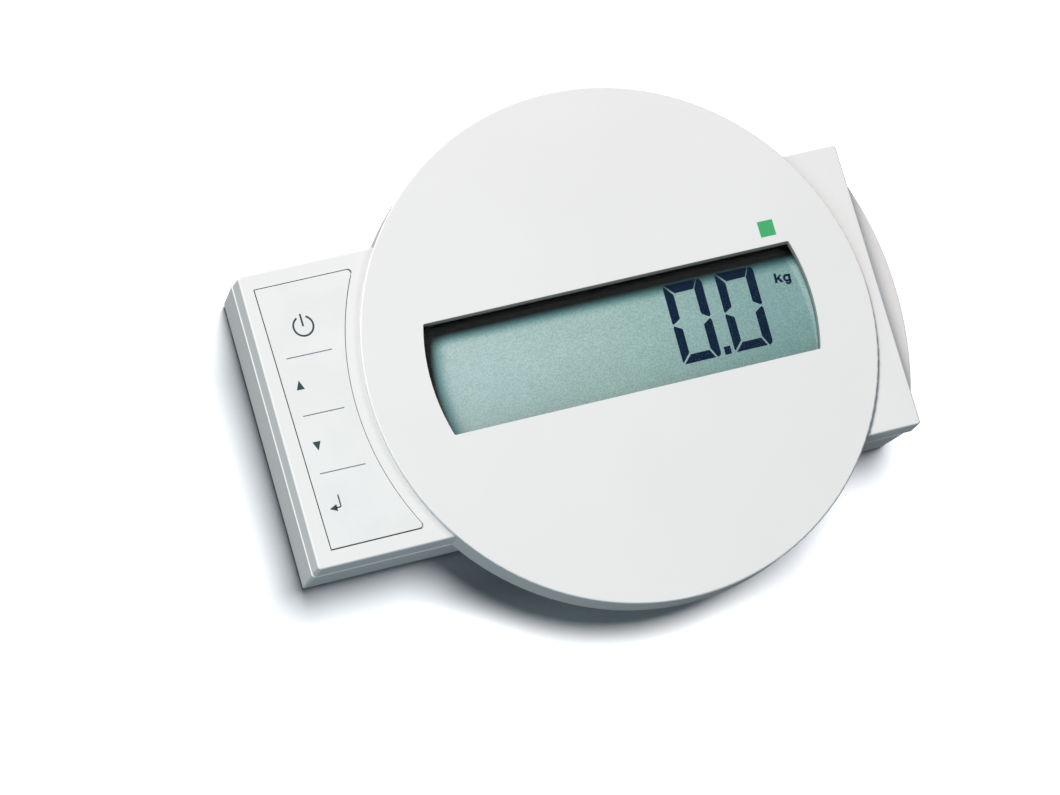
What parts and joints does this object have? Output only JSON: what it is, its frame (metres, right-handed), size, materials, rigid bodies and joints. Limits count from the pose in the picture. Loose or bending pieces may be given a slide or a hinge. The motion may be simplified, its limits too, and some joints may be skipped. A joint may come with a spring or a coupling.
{
  "type": "wheelchair scale display unit",
  "caption": "Display unit of a wheelchair scale: round front disc with a number window over a flat block with a membrane keypad; battery cover slides off the back.",
  "frame": {"origin": "on the resting plane, under the middle of the whole unit's bounding box", "axes": "+Z out of the front, away from the surface the unit lies on; +X along the block to the display's right, away from the keypad; +Y to the display's top"},
  "size_m": [0.2028, 0.161, 0.032],
  "materials": {
    "disc_plastic": "fine satin, injection moulded",
    "body_plastic": "fine satin, injection moulded",
    "keypad_film": "matt printed polyester film",
    "window_clear": "clear, polished",
    "frame_plastic": "matt dark",
    "panel_glass": "grey-green number panel, polished",
    "light_guide": "milky",
    "strip_rubber": "matt",
    "laminate": "matt film",
    "spring_steel": "plated spring steel",
    "connector_plastic": "matt",
    "board_green": "solder mask",
    "black_plastic": "matt",
    "can_metal": "satin",
    "cell_wrap": "printed wrap over metal",
    "screw_steel": "zinc plated",
    "pad_rubber": "matt",
    "insert_brass": "turned"
  },
  "bodies": {
    "housing": {"front_disc": "disc_plastic", "upper_shell": "body_plastic", "rear_shell": "body_plastic", "window_lens": "window_clear", "keypad_foil": "keypad_film", "scale_socket": "black_plastic", "power_jack": "black_plastic", "foot_pads": "pad_rubber", "lcd_frame": "frame_plastic", "lcd_glass": "panel_glass", "backlight": "light_guide", "zebra_strips": "strip_rubber", "keypad_base": "laminate", "key_domes": "spring_steel", "keypad_tail": "laminate", "tail_connector": "connector_plastic", "main_board": "board_green", "processor_chip": "black_plastic", "capacitors": "can_metal", "beeper": "black_plastic", "battery_cells": "cell_wrap", "plus_contacts": "spring_steel", "minus_contacts": "spring_steel", "housing_screws": "screw_steel", "disc_screws": "screw_steel", "board_screws": "screw_steel", "bracket_inserts": "insert_brass"},
    "cover": {"battery_cover": "body_plastic"},
    "key_power": {"key_power": "keypad_film"},
    "key_up": {"key_up": "keypad_film"},
    "key_down": {"key_down": "keypad_film"},
    "key_enter": {"key_enter": "keypad_film"}
  },
  "joints": [
    {"name": "cover_slide", "type": "slide", "parent": "housing", "child": "cover", "axis": [0, 1, 0], "range_m": [0, 0.075]},
    {"name": "key_power_press", "type": "slide", "parent": "housing", "child": "key_power", "axis": [0, 0, -1], "range_m": [0, 0.0003], "stiffness_N_per_m": 5000},
    {"name": "key_up_press", "type": "slide", "parent": "housing", "child": "key_up", "axis": [0, 0, -1], "range_m": [0, 0.0003], "stiffness_N_per_m": 5000},
    {"name": "key_down_press", "type": "slide", "parent": "housing", "child": "key_down", "axis": [0, 0, -1], "range_m": [0, 0.0003], "stiffness_N_per_m": 5000},
    {"name": "key_enter_press", "type": "slide", "parent": "housing", "child": "key_enter", "axis": [0, 0, -1], "range_m": [0, 0.0003], "stiffness_N_per_m": 5000}
  ]
}
